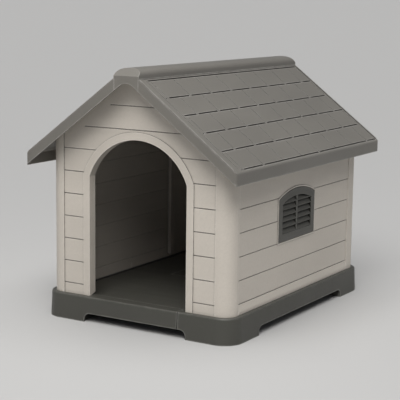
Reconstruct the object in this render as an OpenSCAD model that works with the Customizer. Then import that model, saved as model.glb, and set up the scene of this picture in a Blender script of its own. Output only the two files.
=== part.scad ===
// Knock-down plastic kennel: a two-piece footed base, four clapboard walls with an arched doorway,
// a louvred side vent and a lift-off gable roof with a ridge cap.
// Millimetres. X to the right seen from the front, front faces -Y, Z up, origin on the ground.

/* [Walls] */
// Outside width of the walls
house_w = 664; // [560:1:760]
// Outside depth of the walls
house_d = 888; // [720:1:1000]
// Wall thickness at the corner columns and trim
wall_t = 8; // [7:0.5:12]
// Outside radius of the upright corners
corner_r = 45; // [35:1:60]
// Thickness of the tongue on each side wall's edge
tongue_t = 3.5; // [3:0.1:4]
// Length of the tongue beyond the seam
tongue_l = 14; // [8:1:16]
// Straight run of the front wall's wrap beyond its corners
front_run = 6; // [2:1:40]
// Straight run of the rear wall's wrap beyond its corners
rear_run = 31; // [2:1:60]
// How far the plank fields lie behind the columns and trim
field_in = 2.5; // [1:0.1:3]
// Width of the plain column at each corner
column_w = 54; // [50:1:80]

/* [Planks] */
// Height of the lowest plank line above the ground
plank_z = 114.6; // [100:0.1:130]
// Distance from one plank line to the next
plank_pitch = 72; // [50:1:100]
// Width of a plank line
plank_line = 3.2; // [2:0.1:5]
// Depth of a plank line
plank_cut = 2; // [1:0.1:2]

// Place of the stud's middle along each side wall
stud_y = 247; // [180:1:300]
// Width of the stud
stud_w = 24; // [12:1:30]
// Depth of the stud from the wall's inner face
stud_in = 13; // [6:0.5:16]

/* [Doorway] */
// Clear width of the doorway
door_w = 356; // [280:1:400]
// Height of the doorway's crown above the ground
door_top = 588; // [540:1:600]
// Radius of the doorway's arch
door_arch = 190; // [185:1:230]
// Width of the flat trim round the doorway
trim_w = 24; // [14:1:30]
// Depth of the doorway's reveal
reveal = 30; // [16:1:50]
// Thickness of the reveal's flange
reveal_t = 5; // [3:0.5:8]

/* [Vent] */
// Width of the vent's frame
vent_w = 245; // [160:1:300]
// Height of the vent's lower edge above the ground
vent_z = 261; // [220:1:300]
// Height of the vent's crown above the ground
vent_top = 421; // [380:1:440]
// Radius of the vent's crown
vent_arch = 302; // [200:1:500]
// Place of the vent's centre along the side wall
vent_y = -21; // [-60:1:60]
// Width of the vent's frame bars
vent_bar = 23; // [14:1:30]
// Width of the middle bar
vent_mullion = 9; // [6:1:20]
// Number of louvre blades in each half
blades = 6; // [3:1:8]
// Tilt of a louvre blade
blade_tilt = 56; // [30:1:60]
// Width of a louvre blade
blade_w = 21; // [12:1:24]
// Thickness of a louvre blade
blade_t = 3; // [2:0.1:4]
// Width of the raised rim of the wall round the vent
vent_rim = 6; // [3:0.5:10]
// Width of the slot between the vent's frame and that rim
vent_slot = 2.8; // [1:0.1:2.8]

/* [Base] */
// Height of the base's rim above the ground
base_h = 82; // [76:1:110]
// How far the rim stands out from the walls
base_out = 18; // [14:1:30]
// Inward lean of the skirt from bottom to top
skirt_lean = 3.5; // [0:0.5:4]
// Thickness of the skirt
skirt_t = 5; // [3:0.5:6]
// Radius of the rim's outer edge
rim_r = 6; // [3:0.5:7]
// Depth of the channel that holds the walls
channel = 12; // [8:1:20]
// Thickness of the deck
deck_t = 5; // [3:0.5:8]
// Width of the inner kerb
kerb_t = 6; // [4:0.5:12]
// Height of the inner kerb above the deck
kerb_h = 4; // [3:0.5:12]
// Height of the gaps between the feet
gap_h = 28; // [16:1:32]
// Width of the gaps in the front and rear skirts
gap_x = 376; // [300:1:420]
// Width of the gaps in the side skirts
gap_y = 586; // [440:1:640]
// Radius of the gaps' upper corners
gap_r = 20; // [6:1:24]
// Distance of the front seam from the middle
seam_x = 158; // [140:1:165]
// Width of the seam between the base halves
seam = 0.6; // [0.4:0.1:0.9]
// Width of the groove along the seams of the base's front and rear
seam_groove = 3.6; // [1.5:0.1:4]
// Depth of that groove
seam_depth = 2; // [0.8:0.1:2.5]
// Thickness of the flanges and ribs under the deck
rib_t = 4; // [3:0.5:6]

/* [Roof] */
// Height of the roof planes' meeting line above the ground
ridge_z = 808; // [780:1:830]
// Slope of the roof
pitch = 36.6; // [35:0.1:38]
// How far each eave stands out from the side walls
eave_out = 49; // [40:1:60]
// How far each rake stands out from the gable walls
rake_out = 61; // [50:1:80]
// Thickness of the roof sheet
sheet_t = 6; // [5:0.5:8]
// Upright depth of the rake boards
rake_h = 36; // [28:1:46]
// Thickness of the rake boards and eave
board_t = 4; // [3:0.5:6]
// Radius of the eave's upper edge
eave_r = 9; // [4:1:12]
// Radius of the roof's lower corners, seen from above
roof_r = 12; // [6:1:18]
// Height of the bead along the rakes
bead_h = 2; // [1:0.1:3]
// Width of the bead along the rakes
bead_w = 6; // [3:0.5:8]

/* [Tiles] */
// Rows of tiles on each slope
tile_rows = 5; // [3:1:5]
// Distance down the slope from the ridge line to the first row
tile_start = 63; // [61:1:66]
// Tiles in a row
tiles = 7.55; // [5:0.05:9]
// Distance of the tiles from the front rake
tile_front = 42; // [26:1:60]
// Distance of the tiles from the rear rake
tile_rear = 15; // [13:1:40]
// Width of the narrow first tile in every other row
tile_lead = 11.5; // [0:0.5:30]
// Width of the slot under each tile
slot_w = 5.4; // [3:0.5:7]
// Depth of the slot under each tile
slot_cut = 3.1; // [1.5:0.1:4]
// Bridge between two slots
slot_break = 13; // [4:1:20]
// Width of the upright joint between two tiles
joint_w = 2.4; // [1:0.1:3]
// Depth of the upright joint between two tiles
joint_cut = 1.5; // [0.6:0.1:2]

/* [Ridge cap] */
// Width of the cap
cap_w = 90; // [84:1:100]
// Height of the cap's barrel above its straight sides
cap_rise = 25; // [18:1:28]
// Thickness of the cap
cap_t = 4; // [3:0.5:5]
// Length of the bevel at each end of the cap
cap_bevel = 20; // [10:1:30]
// Radius under the middle of the cap's end plates
cap_soffit_r = 40; // [20:1:60]
// Width of the flat where the roof halves meet under the cap
ridge_flat = 48; // [40:1:56]
// Depth of the ridge flanges
ridge_flange = 40; // [30:1:50]

/* [Fasteners] */
// Radius of the bolts under the deck and the ridge
bolt_r = 4; // [3:0.5:5]
// Radius of the self-tapping screws
screw_r = 1.5; // [1:0.1:1.6]
// Gap around a screw, a bolt or a nut's thread
thread_gap = 0.1; // [0.05:0.01:0.3]
// Side clearance of each wall in the base's channel
channel_gap = 0.5; // [0.3:0.1:0.8]
// Clearance of each tongue in its slot
tongue_gap = 0.3; // [0.2:0.1:0.5]
// Clearance under the roof, on the walls and under the cap
seat_gap = 0.3; // [0.2:0.1:0.5]

/* [Hidden] */
$fn = 96;

// Walls
hw = house_w / 2;
hd = house_d / 2;
post_t = 4.5;
post_in = wall_t + tongue_gap + post_t;
post_run = 6;
// The slanted band at the foot of each side wall stands out by this much.
band_out = 2.5;
// The lower end of the doorway's reveal slants up by this much.
reveal_rise = 9;
locator_h = 26;

// Base
bw = hw + base_out;
bd = hd + base_out;
base_r = corner_r + base_out;
deck_z = base_h - channel;
deck_under = deck_z - deck_t;
e_out = base_out - channel_gap;
e_in = base_out + post_in + channel_gap;
e_kerb = e_in + kerb_t;
sill_in = 6;
// How far the front and rear walls wrap around their corners, from their outer faces.
front_wrap = corner_r + front_run;
rear_wrap = corner_r + rear_run;
half_seam = seam / 2;
flange_z = gap_h + 6;
flange_bolt_z = (flange_z + deck_under) / 2;
flange_run = bd - skirt_t - skirt_lean;

// Roof
slope = tan(pitch);
sheet_v = sheet_t / cos(pitch);
roof_w = house_w + 2 * eave_out;
roof_d = house_d + 2 * rake_out;
hx = roof_w / 2;
hy = roof_d / 2;
flat_x = ridge_flat / 2;
flat_z = ridge_z - flat_x * slope;
under_z = ridge_z - sheet_v;
flat_under = flat_z - sheet_t;
eave_z = ridge_z - rake_h - hx * slope;
// The lowest tile line stays 11.6 mm above the eave's edge, measured along the slope.
tile_pitch = (hx / cos(pitch) - 11.6 - tile_start) / tile_rows;
side_lines = floor((eave_z - plank_z) / plank_pitch) + 1;
gable_lines = floor((flat_under - rake_h - plank_z) / plank_pitch) + 1;
cap_hw = cap_w / 2;
cap_side_z = ridge_z - cap_rise;
plate_hw = cap_hw - 2;
plate_gap = 0.3;
cap_bevel_z = ridge_z - 3 - cap_bevel;
// The roof halves stop this far from the cap's ends, under its bevels.
cap_setback = max(board_t + plate_gap, flat_z + 2 * cap_t + 1 - cap_bevel_z);
eps = 0.01;

function roof_at(x) = ridge_z - x * slope;
function under_at(x) = under_z - x * slope;

// Extrudes a drawing of X and Z along Y.
module along_y(y1, y2) {
    translate([0, y2, 0])
        rotate([90, 0, 0])
            linear_extrude(height = y2 - y1)
                children();
}

// Extrudes a drawing of Y and Z along X.
module along_x(x1, x2) {
    translate([x1, 0, 0])
        rotate([90, 0, 90])
            linear_extrude(height = x2 - x1)
                children();
}

module box(low, high) {
    translate(low)
        cube(high - low);
}

module rod_x(r, x1, x2) {
    translate([x1, 0, 0])
        rotate([0, 90, 0])
            cylinder(h = x2 - x1, r = r);
}

module rounded_rect(w, d, r) {
    square([w - 2 * r, d], center = true);
    square([w, d - 2 * r], center = true);
    for (sx = [-1, 1])
        for (sy = [-1, 1])
            translate([sx * (w / 2 - r), sy * (d / 2 - r)])
                circle(r = r);
}

module both_sides() {
    children();
    mirror([1, 0, 0])
        children();
}

// ---------------------------------------------------------------- base

rim_points = concat(
    [[0, 0]],
    [for (i = [0:5]) [skirt_lean + rim_r * (1 - cos(18 * i)), base_h - rim_r * (1 - sin(18 * i))]],
    [[e_out, base_h], [e_out, deck_z], [e_in, deck_z], [e_in, deck_z + kerb_h]],
    [[e_kerb, deck_z + kerb_h], [e_kerb, deck_z], [e_kerb + 2, deck_z], [e_kerb + 2, deck_under]],
    [[skirt_t + skirt_lean, deck_under], [skirt_t, 0]]
);

module rim_profile() {
    polygon([for (p = rim_points) [base_r - p[0], p[1]]]);
}

module rim_side(half, run) {
    translate([half - base_r, 0, 0])
        rotate([90, 0, 0])
            linear_extrude(height = run, center = true)
                rim_profile();
}

module rim_ring() {
    for (a = [0, 180])
        rotate([0, 0, a]) {
            rim_side(bw, 2 * (bd - base_r));
            rotate([0, 0, 90])
                rim_side(bd, 2 * (bw - base_r));
            translate([bw - base_r, bd - base_r, 0])
                rotate_extrude(angle = 90)
                    rim_profile();
            translate([-(bw - base_r), bd - base_r, 0])
                rotate([0, 0, 90])
                    rotate_extrude(angle = 90)
                        rim_profile();
        }
}

module deck() {
    translate([0, 0, deck_under])
        linear_extrude(height = deck_t)
            rounded_rect(2 * (bw - e_kerb - 1), 2 * (bd - e_kerb - 1), base_r - e_kerb - 1);
}

// The channel is filled level with the rim across the doorway, and at the rear to match.
module sill(side) {
    sill_w = door_w / 2 - channel_gap;
    rotate([0, 0, side])
        box([-sill_w, -(bd - e_out + 1), deck_z - 1], [sill_w, -(bd - e_kerb - sill_in), base_h]);
}

// Inner walls that close each foot.
module foot_walls() {
    low_x = gap_x / 2 + 10;
    high_x = bw - skirt_t - skirt_lean + 2;
    low_y = gap_y / 2;
    high_y = bd - skirt_t - skirt_lean + 2;
    for (sx = [0, 1])
        for (sy = [0, 1])
            mirror([sx, 0, 0])
                mirror([0, sy, 0]) {
                    box([low_x, low_y, 0], [low_x + rib_t, high_y, deck_under + 1]);
                    box([low_x, low_y, 0], [high_x, low_y + rib_t, deck_under + 1]);
                }
}

module deck_ribs() {
    inner_x = bw - skirt_t - skirt_lean + 2;
    inner_y = bd - skirt_t - skirt_lean + 2;
    for (y = [-gap_y / 2 + 60, gap_y / 2 - 60])
        box([-inner_x, y - rib_t / 2, flange_z + 6], [inner_x, y + rib_t / 2, deck_under + 1]);
    for (x = [-bw + 90, 0, bw - 90])
        box([x - rib_t / 2, -inner_y, flange_z + 6], [x + rib_t / 2, inner_y, deck_under + 1]);
}

// Band round the outside of the base's front, from its foot over the rim to the sill's inner edge.
module seam_groove_section() {
    cy = skirt_lean + rim_r;
    cz = base_h - rim_r;
    out = rim_r + 3;
    in = rim_r - seam_depth;
    end = e_kerb + sill_in + 1;
    points = concat(
        [[-3, -1]],
        [for (i = [0:5]) [cy - out * cos(18 * i), cz + out * sin(18 * i)]],
        [[end, base_h + 3], [end, base_h - seam_depth]],
        [for (i = [0:5]) [cy - in * sin(18 * i), cz + in * cos(18 * i)]],
        [[seam_depth, -1]]
    );
    polygon([for (p = points) [p[0] - bd, p[1]]]);
}

// Flanges of the left half along its three seam lines.
module seam_flanges() {
    box([-seam_x - half_seam - rib_t, -half_seam - rib_t, flange_z], [seam_x - half_seam, -half_seam, deck_z - 1]);
    box([seam_x - half_seam - rib_t, -flange_run, flange_z], [seam_x - half_seam, -half_seam, deck_z - 1]);
    box([-seam_x - half_seam - rib_t, -half_seam - rib_t, flange_z], [-seam_x - half_seam, flange_run, deck_z - 1]);
}

module gap_shape(w) {
    square_top = gap_h - gap_r;
    translate([-w / 2, -10])
        square([w, square_top + 10]);
    translate([-w / 2 + gap_r, -10])
        square([w - 2 * gap_r, gap_h + 10]);
    for (s = [-1, 1])
        translate([s * (w / 2 - gap_r), square_top])
            circle(r = gap_r);
}

bolt_y = [0.34 * house_d / 2, 0.72 * house_d / 2];
bolt_x = 80;

// Every bolt place of the base, with the bolt along local X from the left half to the right half.
module base_bolt_places() {
    for (a = [0, 180])
        rotate([0, 0, a]) {
            for (y = bolt_y)
                translate([seam_x, -y, flange_bolt_z])
                    children();
            translate([bolt_x, 0, flange_bolt_z])
                rotate([0, 0, 90])
                    children();
        }
}

module base_half() {
    difference() {
        intersection() {
            union() {
                rim_ring();
                deck();
                sill(0);
                sill(180);
                foot_walls();
                deck_ribs();
            }
            translate([0, 0, -1])
                linear_extrude(height = base_h + 2)
                    polygon([
                        [-2 * bw, -2 * bd],
                        [seam_x - half_seam, -2 * bd],
                        [seam_x - half_seam, -half_seam],
                        [-seam_x - half_seam, -half_seam],
                        [-seam_x - half_seam, 2 * bd],
                        [-2 * bw, 2 * bd]
                    ]);
        }
        along_y(-bd - 1, bd + 1)
            gap_shape(gap_x);
        along_x(-bw - 1, bw + 1)
            gap_shape(gap_y);
        base_holes();
    }
    difference() {
        seam_flanges();
        base_holes();
    }
}

module base_holes() {
    base_bolt_places()
        rod_x(bolt_r + thread_gap, -rib_t - seam - 1, rib_t + seam + 1);
    sill_screw_places()
        cylinder(h = 2 * deck_t + 2, r = screw_r + thread_gap, center = true);
    for (a = [0, 180])
        rotate([0, 0, a])
            along_x(seam_x - seam_groove / 2, seam_x + seam_groove / 2)
                seam_groove_section();
}

module base_left() {
    color("#3f3e3b")
        base_half();
}

module base_right() {
    color("#454440")
        rotate([0, 0, 180])
            base_half();
}

module base_bolts() {
    grip = rib_t + half_seam;
    color("#26262a")
        base_bolt_places() {
            rod_x(bolt_r, -grip, grip + bolt_r + 6);
            rod_x(2 * bolt_r, -grip - bolt_r, -grip);
        }
}

module hex_nut(x1) {
    translate([x1, 0, 0])
        rotate([0, 90, 0])
            difference() {
                cylinder(h = bolt_r + 2, r = 2 * bolt_r, $fn = 6);
                translate([0, 0, -1])
                    cylinder(h = bolt_r + 4, r = bolt_r + thread_gap);
            }
}

module base_nuts() {
    color("#26262a")
        base_bolt_places()
            hex_nut(rib_t + half_seam);
}

// ---------------------------------------------------------------- walls

module gable_prism() {
    along_y(-hd - 1, hd + 1)
        intersection() {
            polygon([
                [-hw - 1, deck_z],
                [hw + 1, deck_z],
                [hw + 1, under_at(hw + 1) - seat_gap / cos(pitch)],
                [0, under_z - seat_gap / cos(pitch)],
                [-hw - 1, under_at(hw + 1) - seat_gap / cos(pitch)]
            ]);
            translate([-hw - 2, deck_z - 1])
                square([2 * hw + 4, flat_under - seat_gap - deck_z + 1]);
        }
}

// The doorway's outline, grown by g all round but open at the bottom.
module door_shape(g) {
    low = deck_z - 20;
    arch_z = door_top - door_arch;
    intersection() {
        translate([-door_w / 2 - g, low])
            square([door_w + 2 * g, door_top + g - low + 1]);
        union() {
            translate([0, arch_z])
                circle(r = door_arch + g, $fn = 180);
            translate([-door_w / 2 - g, low])
                square([door_w + 2 * g, arch_z - low]);
        }
    }
}

module plank_lines(lines, low_x, high_x) {
    for (k = [0:lines - 1])
        translate([low_x, plank_z + k * plank_pitch - plank_line / 2])
            square([high_x - low_x, plank_line]);
}

// A gable wall facing -Y that wraps both corners. Its wrapped edges are channels for the side walls.
module gable_wall(wrap, has_door) {
    seam_y = -hd + wrap;
    field = hw - column_w;
    difference() {
        intersection() {
            union() {
                translate([0, 0, deck_z])
                    linear_extrude(height = ridge_z - deck_z)
                        intersection() {
                            difference() {
                                rounded_rect(house_w, house_d, corner_r);
                                rounded_rect(house_w - 2 * wall_t, house_d - 2 * wall_t, corner_r - wall_t);
                            }
                            translate([-hw - 1, -hd - 1])
                                square([2 * hw + 2, wrap + 1]);
                        }
                both_sides()
                    box([hw - post_in, seam_y - tongue_l - tongue_gap - post_t, deck_z],
                        [hw - wall_t + tongue_t + tongue_gap + 0.5, seam_y - 1, ridge_z]);
                both_sides()
                    box([hw - post_in, seam_y - 2, deck_z], [hw - wall_t - tongue_gap, seam_y + post_run, ridge_z]);
                if (has_door)
                    along_y(-hd, -hd + reveal)
                        door_shape(reveal_t);
            }
            gable_prism();
        }
        both_sides()
            box([hw - wall_t - tongue_gap, seam_y - tongue_l - tongue_gap, deck_z - 1],
                [hw - wall_t + tongue_t + tongue_gap, seam_y + post_run + 1, ridge_z + 1]);
        along_y(-hd - 1, -hd + field_in)
            difference() {
                translate([-field, deck_z - 1])
                    square([2 * field, ridge_z - deck_z + 1]);
                if (has_door)
                    door_shape(trim_w);
            }
        along_y(-hd + field_in - 1, -hd + field_in + plank_cut)
            intersection() {
                difference() {
                    plank_lines(gable_lines, -field, field);
                    if (has_door)
                        door_shape(trim_w);
                }
                polygon([
                    [-hw, under_at(hw) - rake_h],
                    [-hw, 0],
                    [hw, 0],
                    [hw, under_at(hw) - rake_h],
                    [0, under_z - rake_h]
                ]);
            }
        if (has_door)
            along_y(-hd - 1, -hd + reveal + 1)
                door_shape(0);
        box([-door_w / 2, -hd - 1, deck_z - 1], [door_w / 2, -hd + wall_t + 1, base_h + seat_gap]);
        along_x(-door_w / 2 - reveal_t - 1, door_w / 2 + reveal_t + 1)
            polygon([
                [-hd + wall_t + 1, deck_z - 1],
                [-hd + reveal + 2, deck_z - 1],
                [-hd + reveal + 2, base_h + reveal_rise],
                [-hd + wall_t + 1, base_h + seat_gap]
            ]);
    }
}

module front_wall() {
    color("#b2aca5")
        difference() {
            gable_wall(front_wrap, true);
            wall_screw_holes();
            sill_screw_holes();
        }
}

module rear_wall() {
    color("#aea8a1")
        difference() {
            rotate([0, 0, 180])
                gable_wall(rear_wrap, false);
            wall_screw_holes();
            sill_screw_holes();
        }
}

// The vent's outline in Y and Z, grown by g all round.
module vent_shape(g) {
    translate([vent_y, 0])
        intersection() {
            translate([-vent_w / 2 - g, vent_z - g])
                square([vent_w + 2 * g, vent_top - vent_z + 2 * g + 1]);
            translate([0, vent_top - vent_arch])
                circle(r = vent_arch + g, $fn = 180);
        }
}

// Side wall facing +X, with an upright stud on its inner face.
module side_wall(has_vent) {
    y1 = -hd + front_wrap;
    y2 = hd - rear_wrap;
    stud_top = under_at(hw - post_in - 1.5) - locator_h - 4;
    reveal_line = 0.4;
    outer = hw - field_in;
    difference() {
        intersection() {
            union() {
                box([hw - wall_t, y1 + reveal_line, deck_z], [outer, y2 - reveal_line, ridge_z]);
                box([hw - wall_t, y1 - tongue_l, deck_z], [hw - wall_t + tongue_t, y2 + tongue_l, ridge_z]);
                if (has_vent)
                    along_x(outer - 1, outer + field_in - 0.1)
                        vent_shape(vent_rim);
                along_y(y1 + reveal_line, y2 - reveal_line)
                    polygon([
                        [outer - 1, plank_z - plank_line],
                        [outer, plank_z - plank_line],
                        [hw + band_out, base_h + 0.6],
                        [outer - 1, base_h + 0.6]
                    ]);
                box([hw - wall_t - stud_in, stud_y - stud_w / 2, base_h],
                    [hw - wall_t + 1, stud_y + stud_w / 2, stud_top]);
            }
            gable_prism();
        }
        along_x(outer - plank_cut, outer + 0.6)
            difference() {
                plank_lines(side_lines, y1, y2);
                if (has_vent)
                    vent_shape(vent_rim);
            }
        translate([0, 0, -plank_line - 3])
            along_x(hw - wall_t - 1, hw - wall_t + 0.8)
                difference() {
                    plank_lines(side_lines, y1 + 30, stud_y - stud_w / 2 - 20);
                    if (has_vent)
                        vent_shape(vent_rim + 8);
                }
        if (has_vent) {
            along_x(outer - eps, outer + field_in + 2)
                vent_shape(vent_slot);
            along_x(outer - 2, outer + 1)
                difference() {
                    vent_shape(vent_slot);
                    vent_shape(-eps);
                }
            along_x(hw - wall_t - 1, outer + 1)
                vent_shape(-8);
        }
    }
}

module right_wall() {
    color("#9e968f")
        difference() {
            side_wall(true);
            wall_screw_holes();
            sill_screw_holes();
        }
}

module left_wall() {
    color("#9e968f")
        difference() {
            mirror([1, 0, 0])
                side_wall(false);
            wall_screw_holes();
            sill_screw_holes();
        }
}

// Vent: a frame sunk in the right wall's rim, a spigot through the wall and fixed louvres.
module vent() {
    face = hw - field_in;
    frame_t = 2.2;
    spigot = -8 - tongue_gap;
    spigot_t = 3;
    back = hw - wall_t - 7;
    open_low = vent_z + vent_bar;
    open_high = vent_top - vent_bar;
    step = (open_high - open_low) / blades;
    along_x(face + 0.1, face + frame_t)
        difference() {
            vent_shape(0);
            vent_shape(-vent_bar);
        }
    along_x(back, face + 0.2)
        difference() {
            vent_shape(spigot);
            vent_shape(spigot - spigot_t);
        }
    along_x(face - 3, face + 0.2)
        difference() {
            vent_shape(spigot - spigot_t + 1);
            vent_shape(-vent_bar);
        }
    for (y = [-vent_w / 3, vent_w / 3]) {
        box([back, vent_y + y - 8, vent_z - spigot - 1.6], [hw - wall_t - tongue_gap, vent_y + y + 8, vent_z - spigot + 1]);
    }
    box([back, vent_y - vent_mullion / 2, vent_z - spigot + 1], [face + frame_t - 1, vent_y + vent_mullion / 2, vent_top + spigot - 1]);
    intersection() {
        for (k = [0:blades - 1])
            translate([(back + face) / 2 + 1.5, vent_y, open_low + (k + 0.5) * step])
                rotate([0, blade_tilt, 0])
                    cube([blade_w, vent_w, blade_t], center = true);
        along_x(back, face + frame_t - 0.6)
            vent_shape(spigot - 1);
    }
}

module side_vent() {
    color("#4b4944")
        vent();
}

// ---------------------------------------------------------------- wall fasteners

screw_head = 2.4 * screw_r;
screw_head_h = 2.4;
sill_screw_y = 250;
sill_screw_x = hw - corner_r - 5;

module sill_screw_places() {
    for (sx = [-1, 1]) {
        for (sy = [-1, 1])
            translate([sx * sill_screw_x, sy * (hd - wall_t / 2), deck_z - deck_t / 2])
                children();
        for (y = [-sill_screw_y, 0, sill_screw_y])
            translate([sx * (hw - (wall_t + field_in) / 2), y, deck_z - deck_t / 2])
                children();
    }
}

module sill_screw_holes() {
    sill_screw_places()
        cylinder(h = deck_t / 2 + 21, r = screw_r + thread_gap);
}

module sill_screws() {
    color("#8c8c8c")
        sill_screw_places() {
            translate([0, 0, -deck_t / 2])
                cylinder(h = deck_t + 20, r = screw_r);
            translate([0, 0, -deck_t / 2 - screw_head_h])
                cylinder(h = screw_head_h, r = screw_head);
        }
}

wall_screw_z = [150, 310, 470];

// Each place is on the inner face of a corner channel, with X towards the outside.
module wall_screw_places() {
    for (y = [-hd + front_wrap - tongue_l / 2, hd - rear_wrap + tongue_l / 2])
        for (z = wall_screw_z) {
            translate([hw - post_in, y, z])
                children();
            translate([-hw + post_in, y, z])
                rotate([0, 0, 180])
                    children();
        }
}

module wall_screw_holes() {
    wall_screw_places()
        rod_x(screw_r + thread_gap, -1, post_in - wall_t + tongue_t - 0.5);
}

module wall_screws() {
    color("#8c8c8c")
        wall_screw_places() {
            rod_x(screw_r, -0.5, post_in - wall_t + tongue_t - 1);
            rod_x(screw_head, -screw_head_h, 0);
        }
}

// ---------------------------------------------------------------- roof

eave_cx = hx - eave_r;
eave_cz = roof_at(eave_cx) - eave_r / cos(pitch);
eave_arc = [for (i = [0:6]) let (a = (90 - pitch) * (6 - i) / 6) [eave_cx + eave_r * cos(a), eave_cz + eave_r * sin(a)]];

// Section of the right roof half in X and Z: sheet, eave board and ridge flange.
module sheet_section() {
    flange_x = half_seam + 4;
    polygon(concat(
        [[half_seam, flat_z], [flat_x, flat_z]],
        eave_arc,
        [[hx, eave_z], [hx - board_t, eave_z], [hx - board_t, under_at(hx - board_t)]],
        [[(under_z - flat_under) / slope, flat_under], [half_seam, flat_under]]
    ));
}

// Rake board of the right roof half, from the cap's end plate to the eave.
module rake_section() {
    x1 = plate_hw + plate_gap;
    polygon(concat(
        [[x1, roof_at(x1)]],
        eave_arc,
        [[hx, eave_z], [x1, eave_z + (hx - x1) * slope]]
    ));
}

// Filling behind a lower corner, under the sheet and between the rake and eave boards.
module corner_section() {
    x1 = hx - roof_r;
    x2 = hx - 1;
    polygon([
        [x1, eave_z + (hx - x1) * slope + 1],
        [x2, eave_z + (hx - x2) * slope + 1],
        [x2, under_at(x2) + 1],
        [x1, under_at(x1) + 1]
    ]);
}

module bead_section() {
    x1 = cap_hw + 1;
    x2 = hx - eave_r - 2;
    lift = bead_h / cos(pitch);
    polygon([
        [x1, roof_at(x1) - 1],
        [x1, roof_at(x1) + lift],
        [x2, roof_at(x2) + lift],
        [x2 + 3, roof_at(x2 + 3)],
        [x2 + 3, roof_at(x2 + 3) - 1]
    ]);
}

// Outline of the right roof half from above, with its two lower corners rounded.
module roof_plan() {
    translate([-1, -hy])
        square([hx - roof_r + 1, 2 * hy]);
    translate([-1, -hy + roof_r])
        square([hx + 1, 2 * (hy - roof_r)]);
    for (s = [-1, 1])
        translate([hx - roof_r, s * (hy - roof_r)])
            circle(r = roof_r);
}

// Places its children on the right slope: X down the slope, Z out of the roof.
module on_slope() {
    translate([0, 0, ridge_z])
        rotate([0, pitch, 0])
            children();
}

// The slot along the eave has fewer breaks than the others.
function broken(row, i) = row < tile_rows || i == 0 || i % 3 == 1;

module tile_cuts() {
    y0 = -hy + tile_front;
    y3 = hy - tile_rear;
    tw = (y3 - y0 - tile_lead) / tiles;
    s_end = tile_start + tile_rows * tile_pitch;
    on_slope() {
        box([tile_start - slot_w / 2, y0, -slot_cut], [tile_start + slot_w / 2, y3, 2]);
        box([tile_start, y0 - 8 - joint_w / 2, -joint_cut], [s_end, y0 - 8 + joint_w / 2, 2]);
        for (sy = [-1, 1])
            box([tile_start, sy * (hy - bead_w - 3) - 1, -1.2], [s_end, sy * (hy - bead_w - 3) + 1, 2]);
        for (row = [1:tile_rows]) {
            s = tile_start + row * tile_pitch;
            shift = tile_lead + (row % 2 == 1 ? 0 : tw / 2);
            for (i = [-1:ceil(tiles)]) {
                a = y0 + shift + i * tw;
                b = a + tw;
                low = a > y0 ? a + (broken(row, i) ? slot_break / 2 : -1) : y0;
                high = b < y3 ? b - (broken(row, i + 1) ? slot_break / 2 : -1) : y3;
                if (high - low > 3)
                    box([s - slot_w / 2, low, -slot_cut], [s + slot_w / 2, high, 2]);
                if (a > y0 + 4 && a < y3 - 4)
                    box([s - tile_pitch + slot_w / 2 + 2, a - joint_w / 2, -joint_cut], [s + slot_w / 2, a + joint_w / 2, 2]);
            }
        }
    }
}

cap_screw_x = (half_seam + 4 + flat_x) / 2;
cap_screw_y = [0.2 * roof_d, 0.4 * roof_d];

module cap_screw_places() {
    for (sx = [-1, 1])
        for (sy = [-1, 1])
            for (y = cap_screw_y)
                translate([sx * cap_screw_x, sy * y, flat_under])
                    children();
}

ridge_bolt_y = [-0.3 * house_d, 0, 0.3 * house_d];
ridge_bolt_z = flat_under - ridge_flange / 2;

module ridge_bolt_places() {
    for (y = ridge_bolt_y)
        translate([0, y, ridge_bolt_z])
            children();
}

// Right roof half with square lower corners.
module square_roof_half() {
    inner_y = hd - wall_t - 1.5;
    rib_x = hw - post_in - 1.5;
    cross_x = hw - corner_r - 2;
    cross_h = 22;
    difference() {
        union() {
            along_y(-hy, hy)
                sheet_section();
            for (s = [-1, 1])
                along_y(s * (hy - board_t / 2) - board_t / 2, s * (hy - board_t / 2) + board_t / 2)
                    rake_section();
            for (s = [-1, 1])
                along_y(s * (hy - (roof_r + 1) / 2) - (roof_r - 1) / 2, s * (hy - (roof_r + 1) / 2) + (roof_r - 1) / 2)
                    corner_section();
            for (s = [-1, 1])
                along_y(s * (hy - bead_w / 2 - 1) - bead_w / 2, s * (hy - bead_w / 2 - 1) + bead_w / 2)
                    bead_section();
            box([half_seam, -inner_y, flat_under - ridge_flange], [half_seam + 4, inner_y, flat_under + 1]);
            for (s = [-1, 1])
                along_y(s * (inner_y - rib_t / 2) - rib_t / 2, s * (inner_y - rib_t / 2) + rib_t / 2)
                    polygon([
                        [half_seam, flat_under + 1],
                        [half_seam, flat_under - cross_h],
                        [flat_x, flat_under - cross_h],
                        [cross_x, under_at(cross_x) - cross_h + 6],
                        [cross_x, under_at(cross_x) + 1],
                        [(under_z - flat_under) / slope, flat_under + 1]
                    ]);
            along_y(-hd + front_wrap + 50, hd - rear_wrap - 50)
                polygon([
                    [rib_x - rib_t, under_at(rib_x - rib_t) + 1],
                    [rib_x - rib_t, under_at(rib_x) - locator_h],
                    [rib_x, under_at(rib_x) - locator_h],
                    [rib_x, under_at(rib_x) + 1]
                ]);
        }
        tile_cuts();
        for (s = [-1, 1])
            translate([0, s * (hy - cap_setback + 50), 0])
                box([-1, -50, 0], [plate_hw + plate_gap, 50, ridge_z + 10]);
        ridge_bolt_places()
            rod_x(bolt_r + thread_gap, -1, 10);
        cap_screw_places()
            cylinder(h = 2 * sheet_t, r = screw_r + 2 * thread_gap, center = true);
    }
}

module roof_half() {
    intersection() {
        square_roof_half();
        linear_extrude(height = ridge_z + 20)
            roof_plan();
    }
}

module roof_right() {
    color("#7b7972")
        roof_half();
}

module roof_left() {
    color("#7b7972")
        mirror([1, 0, 0])
            roof_half();
}

// Exponent of the cap's section: 1 is a half-oval, and less is fuller at the shoulders.
cap_full = 0.8;

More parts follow.
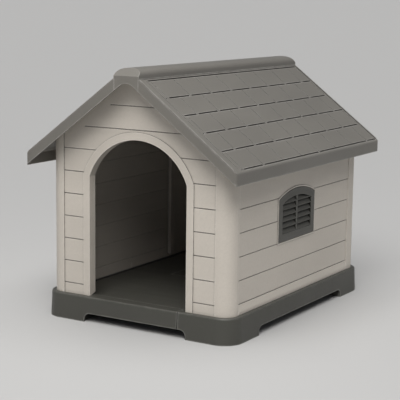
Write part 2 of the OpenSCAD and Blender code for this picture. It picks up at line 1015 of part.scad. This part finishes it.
module cap_dome(inset) {
    a = cap_hw - inset;
    b = cap_rise - inset;
    polygon([
        for (i = [0:32])
            let (c = cos(180 * i / 32), t = sin(180 * i / 32))
                [a * sign(c) * pow(abs(c), cap_full), cap_side_z + b * pow(t, cap_full)]
    ]);
}

// Half-oval outline of the cap, cut below by the roof's slopes.
module cap_outline(inset) {
    a = cap_hw - inset;
    difference() {
        union() {
            cap_dome(inset);
            translate([-a, cap_side_z - 60])
                square([2 * a, 60 + eps]);
        }
        polygon([
            [-2 * cap_w, roof_at(2 * cap_w) + seat_gap],
            [0, ridge_z + seat_gap],
            [2 * cap_w, roof_at(2 * cap_w) + seat_gap],
            [2 * cap_w, 0],
            [-2 * cap_w, 0]
        ]);
    }
}

// Side view of the cap in Y and Z, with both ends bevelled.
module cap_side(inset) {
    end = hy - inset;
    top = ridge_z + 1;
    bevel_z = cap_bevel_z - inset;
    polygon([
        [-end, 0],
        [-end, bevel_z],
        [-end + cap_bevel + 4, bevel_z + cap_bevel + 4],
        [-end + cap_bevel + 4, top],
        [end - cap_bevel - 4, top],
        [end - cap_bevel - 4, bevel_z + cap_bevel + 4],
        [end, bevel_z],
        [end, 0]
    ]);
}

// End plate in X and Z, rounded under its middle.
module cap_plate() {
    low = eave_z + hx * slope;
    soffit_z = low - cap_soffit_r / cos(pitch);
    difference() {
        union() {
            translate([-plate_hw, low - plate_hw * slope])
                square([2 * plate_hw, cap_side_z + 2 - low + plate_hw * slope]);
            cap_dome(0);
        }
        polygon(concat(
            [[-2 * plate_hw, low - 2 * plate_hw * slope]],
            [for (i = [0:12]) let (a = 90 + pitch - 2 * pitch * i / 12) [cap_soffit_r * cos(a), soffit_z + cap_soffit_r * sin(a)]],
            [[2 * plate_hw, low - 2 * plate_hw * slope]]
        ));
    }
}

module ridge_cap() {
    end_run = cap_setback - plate_gap;
    color("#95928a")
        difference() {
            union() {
                intersection() {
                    difference() {
                        along_y(-hy, hy)
                            cap_solid();
                        intersection() {
                            along_y(-hy, hy)
                                cap_hollow();
                            along_x(-cap_w, cap_w)
                                cap_side(cap_t);
                        }
                    }
                    along_x(-cap_w, cap_w)
                        cap_side(0);
                }
                intersection() {
                    for (s = [-1, 1])
                        along_y(s * (hy - end_run / 2) - end_run / 2, s * (hy - end_run / 2) + end_run / 2)
                            cap_plate();
                    along_x(-cap_w, cap_w)
                        difference() {
                            cap_side(0);
                            cap_side(cap_t);
                        }
                }
                intersection() {
                    cap_screw_places()
                        translate([0, 0, sheet_t + seat_gap])
                            cylinder(h = 40, r = 4);
                    along_y(-hy + cap_t, hy - cap_t)
                        cap_solid();
                }
            }
            cap_screw_places()
                cylinder(h = sheet_t + 10, r = screw_r + thread_gap);
        }
}

// Outline of the cap down to the flat where the roof halves meet.
module cap_solid() {
    cap_outline(0);
    intersection() {
        cap_dome(0);
        translate([-flat_x, flat_z + seat_gap])
            square([2 * flat_x, cap_rise]);
    }
}

module cap_hollow() {
    a = cap_hw - cap_t;
    intersection() {
        union() {
            cap_dome(cap_t);
            translate([-a, cap_side_z - 60])
                square([2 * a, 60 + eps]);
        }
        translate([-a, 0])
            square([2 * a, ridge_z - cap_t]);
    }
}

module ridge_bolts() {
    grip = half_seam + 4;
    color("#26262a")
        ridge_bolt_places() {
            rod_x(bolt_r, -grip, grip + bolt_r + 6);
            rod_x(2 * bolt_r, -grip - bolt_r, -grip);
        }
}

module ridge_nuts() {
    color("#26262a")
        ridge_bolt_places()
            hex_nut(half_seam + 4);
}

module cap_screws() {
    color("#8c8c8c")
        cap_screw_places() {
            cylinder(h = sheet_t + 8, r = screw_r);
            translate([0, 0, -screw_head_h])
                cylinder(h = screw_head_h, r = screw_head);
        }
}

base_left();
base_right();
base_bolts();
base_nuts();
front_wall();
rear_wall();
left_wall();
right_wall();
side_vent();
sill_screws();
wall_screws();
roof_left();
roof_right();
ridge_cap();
ridge_bolts();
ridge_nuts();
cap_screws();
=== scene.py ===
"""Looks for the knock-down plastic kennel: materials, floor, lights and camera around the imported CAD.

Metres, Z up, the front faces -Y. The CAD's meshes stay as they are, and their edges are only shaded rounder.
"""

import math

import bpy
from mathutils import Matrix, Vector

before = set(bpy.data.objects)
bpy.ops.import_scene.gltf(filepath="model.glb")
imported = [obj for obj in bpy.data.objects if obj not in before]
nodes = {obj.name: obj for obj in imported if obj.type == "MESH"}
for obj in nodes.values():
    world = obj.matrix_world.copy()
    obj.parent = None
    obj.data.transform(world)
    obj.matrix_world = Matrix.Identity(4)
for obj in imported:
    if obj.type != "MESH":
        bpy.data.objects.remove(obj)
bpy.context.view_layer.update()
scene = bpy.context.scene

# ---------------------------------------------------------------- node helpers

# Rays that an ambient occlusion or bevel node sends at each point.
NODE_SAMPLES = 6


class Graph:
    """A material's node tree, with short calls that make and join nodes."""

    def __init__(self, name):
        self.material = bpy.data.materials.new(name)
        self.material.use_nodes = True
        self.tree = self.material.node_tree
        self.tree.nodes.clear()

    def node(self, kind, **settings):
        made = self.tree.nodes.new(kind)
        for key, value in settings.items():
            setattr(made, key, value)
        return made

    def join(self, source, target):
        self.tree.links.new(source, target)

    def put(self, target, value):
        """Joins value to target if it is a socket, and sets it if it is a number or a colour."""
        if isinstance(value, bpy.types.NodeSocket):
            self.join(value, target)
        else:
            target.default_value = value

    def math(self, operation, a, b, clamp=False):
        made = self.node("ShaderNodeMath", operation=operation, use_clamp=clamp)
        self.put(made.inputs[0], a)
        self.put(made.inputs[1], b)
        return made.outputs[0]

    def times(self, a, b):
        return self.math("MULTIPLY", a, b)

    def ramp(self, value, low, high, to_low=0.0, to_high=1.0):
        """value from low..high to to_low..to_high, eased and held beyond the ends."""
        made = self.node("ShaderNodeMapRange", interpolation_type="SMOOTHSTEP")
        self.put(made.inputs["Value"], value)
        made.inputs["From Min"].default_value = low
        made.inputs["From Max"].default_value = high
        made.inputs["To Min"].default_value = to_low
        made.inputs["To Max"].default_value = to_high
        return made.outputs["Result"]

    def mix(self, factor, a, b):
        """Colour a where factor is 0, and b where it is 1."""
        made = self.node("ShaderNodeMix", data_type="RGBA")
        self.put(made.inputs[0], factor)
        self.put(made.inputs[6], a)
        self.put(made.inputs[7], b)
        return made.outputs[2]

    def place(self, scale=(1.0, 1.0, 1.0)):
        """The object's own coordinates in metres, scaled."""
        coords = self.node("ShaderNodeTexCoord").outputs["Object"]
        made = self.node("ShaderNodeMapping")
        self.join(coords, made.inputs["Vector"])
        made.inputs["Scale"].default_value = scale
        return made.outputs["Vector"]

    def noise(self, place, per_metre, detail, rough, distortion=0.0):
        made = self.node("ShaderNodeTexNoise")
        self.join(place, made.inputs["Vector"])
        made.inputs["Scale"].default_value = per_metre
        made.inputs["Detail"].default_value = detail
        made.inputs["Roughness"].default_value = rough
        made.inputs["Distortion"].default_value = distortion
        return made.outputs["Fac"]

    def pits(self, place, per_metre):
        """Rounded cells: the distance to the nearest of many scattered points."""
        made = self.node("ShaderNodeTexVoronoi", feature="SMOOTH_F1")
        self.join(place, made.inputs["Vector"])
        made.inputs["Scale"].default_value = per_metre
        return made.outputs["Distance"]

    def openness(self, reach, inside=False):
        """1 where the object's own surface hides nothing within reach, and less where it does."""
        made = self.node("ShaderNodeAmbientOcclusion", samples=NODE_SAMPLES, inside=inside, only_local=True)
        made.inputs["Distance"].default_value = reach
        return made.outputs["AO"]

    def rounded_edges(self, radius):
        made = self.node("ShaderNodeBevel", samples=NODE_SAMPLES)
        made.inputs["Radius"].default_value = radius
        return made.outputs["Normal"]

    def bump(self, height, depth, strength, normal=None):
        made = self.node("ShaderNodeBump")
        made.inputs["Strength"].default_value = strength
        made.inputs["Distance"].default_value = depth
        self.join(height, made.inputs["Height"])
        if normal is not None:
            self.join(normal, made.inputs["Normal"])
        return made.outputs["Normal"]

    def surface(self, inputs):
        """Ends the material in one Principled surface. Its inputs are sockets, numbers or colours."""
        made = self.node("ShaderNodeBsdfPrincipled")
        for key, value in inputs.items():
            self.put(made.inputs[key], value)
        output = self.node("ShaderNodeOutputMaterial")
        self.join(made.outputs["BSDF"], output.inputs["Surface"])
        return self.material


def shade(color, factor):
    return (color[0] * factor, color[1] * factor, color[2] * factor, 1.0)


# ---------------------------------------------------------------- materials

# How many of each mark lie along a metre.
DRIFTS = 2.3
STREAKS = 9.0
MOTTLES = 160.0
SPECKS = 900.0
# Patches along edges that are rubbed pale and get a painted highlight.
RUB_AND_HIGHLIGHT_PATCHES = 34.0
# Patches in the dusty grooves with painted shade.
DUST_AND_SHADE_PATCHES = 55.0
# Patches of painted shade in corners.
CORNER_SHADE_PATCHES = 12.0
PITS = 620.0
CLOUDS = 130.0
TURNING_MARKS = 900.0

# Scales that stretch flow marks along an axis.
ALONG_X = (0.25, 1.0, 1.0)
ALONG_Y = (1.0, 0.25, 1.0)

EDGE_RADIUS = 0.0012
GROOVE_REACH = 0.007
CORNER_REACH = 0.05
PIT_DEPTH = 0.00024
TURNING_DEPTH = 0.0001
PLASTIC_IOR = 1.49


def moulded_tone(g, color, place, streak, mottle):
    """Slow drifts of tone over a moulding, flow marks, and the mottle and specks of recycled plastic."""
    drift = g.noise(place, DRIFTS, 2.0, 0.5)
    speck = g.noise(place, SPECKS, 2.0, 0.6)
    tone = g.mix(g.ramp(drift, 0.35, 0.65), shade(color, 0.95), shade(color, 1.04))
    tone = g.mix(g.times(g.ramp(streak, 0.4, 0.7), 0.6), tone, shade(color, 1.09))
    tone = g.mix(g.times(g.ramp(mottle, 0.35, 0.75), 0.4), tone, shade(color, 0.92))
    return g.mix(g.times(g.ramp(speck, 0.45, 0.8), 0.35), tone, shade(color, 1.16))


def rubbed_and_highlit_color(color, pale):
    """A paler and greyer version of color, as plastic turns where it is rubbed, and also a painted highlight
    along edges.
    """
    return tuple(min(1.0, pale * (0.72 * c + 0.28 * max(color)) + 0.03) for c in color) + (1.0,)


def highlit_worn_edges(g, place, shut, wear_and_highlight, wear_and_highlight_width, keen):
    """Where outside edges are rubbed pale and get a painted highlight: seen from inside the moulding, the
    surface closes in only there.
    """
    edge = g.ramp(g.openness(wear_and_highlight_width, inside=True), keen[0], keen[1], 1.0, 0.0)
    open_edge = g.times(edge, g.math("SUBTRACT", 1.0, shut, clamp=True))
    patches = g.ramp(g.noise(place, RUB_AND_HIGHLIGHT_PATCHES, 5.0, 0.7), 0.35, 0.65, 0.35, 1.0)
    return g.times(g.times(open_edge, patches), wear_and_highlight)


def groove_dust_and_shade(g, place, shut, groove):
    """Where grooves are dusty and darkened with painted shade."""
    patches = g.ramp(g.noise(place, DUST_AND_SHADE_PATCHES, 4.0, 0.6), 0.3, 0.7, 0.7, 1.0)
    return g.times(g.times(shut, patches), groove)


def corner_painted_shade(g, place, corner_shade):
    """Painted shade, fainter, in wider corners where the object's own surface closes in."""
    near = g.ramp(g.openness(CORNER_REACH), 0.3, 1.0, 1.0, 0.0)
    patches = g.ramp(g.noise(place, CORNER_SHADE_PATCHES, 4.0, 0.6), 0.3, 0.7, 0.5, 1.0)
    return g.times(g.times(near, patches), corner_shade)


def plastic(name, color, flow, rough, wear_and_highlight, pale, groove, corner_shade, wear_and_highlight_width=0.0038, keen=(0.6, 0.91)):
    """Moulded plastic: a fine grain, flow marks, edges rubbed pale with a painted highlight, dusty grooves
    with painted shade, and painted shade in corners.

    wear, groove and grime are strengths of the lightened edges, the darkened grooves and the painted shade in
    corners.
    pale is how much lighter an edge is, wear_and_highlight_width is its width, and keen is the openness at
    which it is fully lightened and not.
    """
    g = Graph(name)
    place = g.place()
    streak = g.noise(g.place(flow), STREAKS, 4.0, 0.55, 0.4)
    mottle = g.noise(place, MOTTLES, 3.0, 0.6)
    shut = g.ramp(g.openness(GROOVE_REACH), 0.45, 0.97, 1.0, 0.0)
    worn_and_highlit = highlit_worn_edges(g, place, shut, wear_and_highlight, wear_and_highlight_width, keen)
    dust_and_shade = groove_dust_and_shade(g, place, shut, groove)

    tone = moulded_tone(g, color, place, streak, mottle)
    # Painted shade in corners.
    tone = g.mix(corner_painted_shade(g, place, corner_shade), tone, shade(color, 0.55))
    # Edges lightened: rubbed pale, with a painted highlight.
    tone = g.mix(worn_and_highlit, tone, rubbed_and_highlit_color(color, pale))
    # Grooves darkened: dusty, with painted shade.
    tone = g.mix(dust_and_shade, tone, shade(color, 0.16))

    # The flow marks and the mottle add about 0.09 to the roughness on average, so that much comes off it.
    uneven = g.math("ADD", g.times(g.ramp(streak, 0.3, 0.7), 0.08), g.times(mottle, 0.1))
    roughness = g.math("ADD", uneven, rough - 0.09)
    roughness = g.math("SUBTRACT", roughness, g.times(worn_and_highlit, 0.16))
    roughness = g.math("ADD", roughness, g.times(dust_and_shade, 0.35), clamp=True)

    # Fine pits of the mould's texture.
    grain = g.math("ADD", g.times(g.pits(place, PITS), 0.7), g.times(mottle, 0.6))
    normal = g.bump(grain, PIT_DEPTH, 0.55, g.rounded_edges(EDGE_RADIUS))
    return g.surface({"Base Color": tone, "Roughness": roughness, "IOR": PLASTIC_IOR, "Normal": normal})


def steel(name, color):
    """Zinc-plated steel: fine rings round the screw and slight clouding."""
    g = Graph(name)
    cloud = g.noise(g.place(), CLOUDS, 4.0, 0.6)
    rings = g.noise(g.place((1.0, 1.0, 9.0)), TURNING_MARKS, 2.0, 0.5)
    tone = g.mix(g.ramp(cloud, 0.35, 0.7), shade(color, 0.78), shade(color, 1.08))
    roughness = g.ramp(cloud, 0.3, 0.7, 0.28, 0.46)
    normal = g.bump(rings, TURNING_DEPTH, 0.3)
    return g.surface({"Base Color": tone, "Metallic": 1.0, "Roughness": roughness, "Normal": normal})


# Base colours in linear light.
WALL = (0.56, 0.515, 0.455)
ROOF = (0.16, 0.151, 0.134)
BASE = (0.061, 0.06, 0.051)
VENT = (0.072, 0.07, 0.06)
BLACK = (0.02, 0.02, 0.021)
ZINC = (0.56, 0.56, 0.57)

gable_wall = plastic(
    "wall_plastic_gable", WALL, ALONG_X, rough=0.5, wear_and_highlight=0.7, pale=1.3, groove=0.85, corner_shade=0.25
)
side_wall = plastic(
    "wall_plastic_side", WALL, ALONG_Y, rough=0.5, wear_and_highlight=0.7, pale=1.3, groove=0.62, corner_shade=0.25
)
roof_plastic = plastic(
    "roof_plastic", ROOF, ALONG_Y, rough=0.44, wear_and_highlight=0.95, pale=2.0, groove=0.97, corner_shade=0.3
)
base_plastic = plastic(
    "base_plastic", BASE, ALONG_X, rough=0.46, wear_and_highlight=0.95, pale=2.4, groove=0.97, corner_shade=0.15, keen=(0.8, 0.965)
)
vent_plastic = plastic(
    "vent_plastic", VENT, ALONG_Y, rough=0.45, wear_and_highlight=0.7, pale=1.8, groove=0.95, corner_shade=0.4, wear_and_highlight_width=0.0022
)
bolt_plastic = plastic(
    "bolt_plastic", BLACK, ALONG_X, rough=0.4, wear_and_highlight=0.5, pale=1.6, groove=0.8, corner_shade=0.3
)
screw_steel = steel("zinc_steel", ZINC)

LOOKS = {
    "base_left": base_plastic,
    "base_right": base_plastic,
    "base_bolts": bolt_plastic,
    "base_nuts": bolt_plastic,
    "front_wall": gable_wall,
    "rear_wall": gable_wall,
    "left_wall": side_wall,
    "right_wall": side_wall,
    "side_vent": vent_plastic,
    "sill_screws": screw_steel,
    "wall_screws": screw_steel,
    "roof_left": roof_plastic,
    "roof_right": roof_plastic,
    "ridge_cap": roof_plastic,
    "ridge_bolts": bolt_plastic,
    "ridge_nuts": bolt_plastic,
    "cap_screws": screw_steel,
}
for name, material in LOOKS.items():
    mesh = nodes[name].data
    mesh.materials.clear()
    mesh.materials.append(material)

# ---------------------------------------------------------------- floor

# So wide that its rim looks like a horizon.
FLOOR_R = 400.0
FLOOR_SIDES = 96
FLOOR_COLOR = (0.5, 0.497, 0.49, 1.0)

floor_mesh = bpy.data.meshes.new("floor")
turns = [math.tau * i / FLOOR_SIDES for i in range(FLOOR_SIDES)]
rim = [(math.cos(a) * FLOOR_R, math.sin(a) * FLOOR_R, 0.0) for a in turns]
floor_mesh.from_pydata(rim, [], [tuple(range(FLOOR_SIDES))])
floor_mesh.materials.append(Graph("floor").surface({"Base Color": FLOOR_COLOR, "Roughness": 0.85}))
floor = bpy.data.objects.new("floor", floor_mesh)
scene.collection.objects.link(floor)

# ---------------------------------------------------------------- light

SKY_COLOR = (0.93, 0.95, 1.0, 1.0)
SKY_STRENGTH = 0.22
# How far off a sun's marker stands. It has no effect on the light.
SUN_MARK = 3.0

world = bpy.data.worlds.new("studio")
world.use_nodes = True
sky = world.node_tree.nodes["Background"]
sky.inputs["Color"].default_value = SKY_COLOR
sky.inputs["Strength"].default_value = SKY_STRENGTH
scene.world = world
scene.view_settings.view_transform = "Standard"


def add_light(name, kind, place, heading, energy, color):
    """A light at place that shines along heading."""
    light = bpy.data.objects.new(name, bpy.data.lights.new(name, kind))
    light.data.energy = energy
    light.data.color = color
    light.location = place
    light.rotation_mode = "QUATERNION"
    light.rotation_quaternion = heading.to_track_quat("-Z", "Y")
    scene.collection.objects.link(light)
    return light


def sun(name, toward, width, strength, color):
    """A distant light that comes from toward. width is how many degrees of the sky it fills."""
    light = add_light(name, "SUN", Vector(toward) * SUN_MARK, -Vector(toward), strength, color)
    light.data.angle = math.radians(width)


def softbox(name, place, aim, side, power, color):
    """A square area light at place that faces aim, and that the camera doesn't see."""
    light = add_light(name, "AREA", place, Vector(aim) - Vector(place), power, color)
    light.data.shape = "SQUARE"
    light.data.size = side
    light.visible_camera = False


sun("key", toward=(0.3, -0.62, 0.72), width=34.0, strength=1.25, color=(1.0, 0.985, 0.965))
sun("top", toward=(0.1, -0.1, 1.0), width=70.0, strength=1.55, color=(1.0, 0.995, 0.985))
softbox(
    "front", place=(0.25, -1.25, 2.0), aim=(0.1, -0.2, 0.65), side=0.9, power=13.0, color=(1.0, 0.99, 0.98)
)

# ---------------------------------------------------------------- camera

# The photograph's camera, fitted to the kennel's edges: place, turn to the left, tilt, lean and lens.
CAMERA_AT = Vector((2.07935, -3.50335, 1.03))
CAMERA_YAW = math.radians(31.23)
CAMERA_PITCH = math.radians(-9.55)
CAMERA_ROLL = math.radians(0.74)
CAMERA_LENS = 110.9
SENSOR_WIDTH = 36.0
# The near and far limits of what the camera draws. The far one lies beyond the floor's rim.
CLIP_NEAR = 0.05
CLIP_FAR = 2000.0


def camera_axes(yaw, pitch, roll):
    """The camera's right, up and ahead as unit vectors."""
    ahead = Vector((-math.sin(yaw) * math.cos(pitch), math.cos(yaw) * math.cos(pitch), math.sin(pitch)))
    level = Vector((math.cos(yaw), math.sin(yaw), 0.0))
    above = level.cross(ahead)
    right = level * math.cos(roll) + above * math.sin(roll)
    upward = above * math.cos(roll) - level * math.sin(roll)
    return right, upward, ahead


camera_data = bpy.data.cameras.new("camera")
camera_data.lens = CAMERA_LENS
camera_data.sensor_width = SENSOR_WIDTH
camera_data.clip_start = CLIP_NEAR
camera_data.clip_end = CLIP_FAR
camera = bpy.data.objects.new("camera", camera_data)
right, upward, ahead = camera_axes(CAMERA_YAW, CAMERA_PITCH, CAMERA_ROLL)
facing = Matrix((right, upward, -ahead)).transposed()
camera.matrix_world = Matrix.Translation(CAMERA_AT) @ facing.to_4x4()
scene.collection.objects.link(camera)
scene.camera = camera

# ---------------------------------------------------------------- finish

bpy.context.view_layer.update()
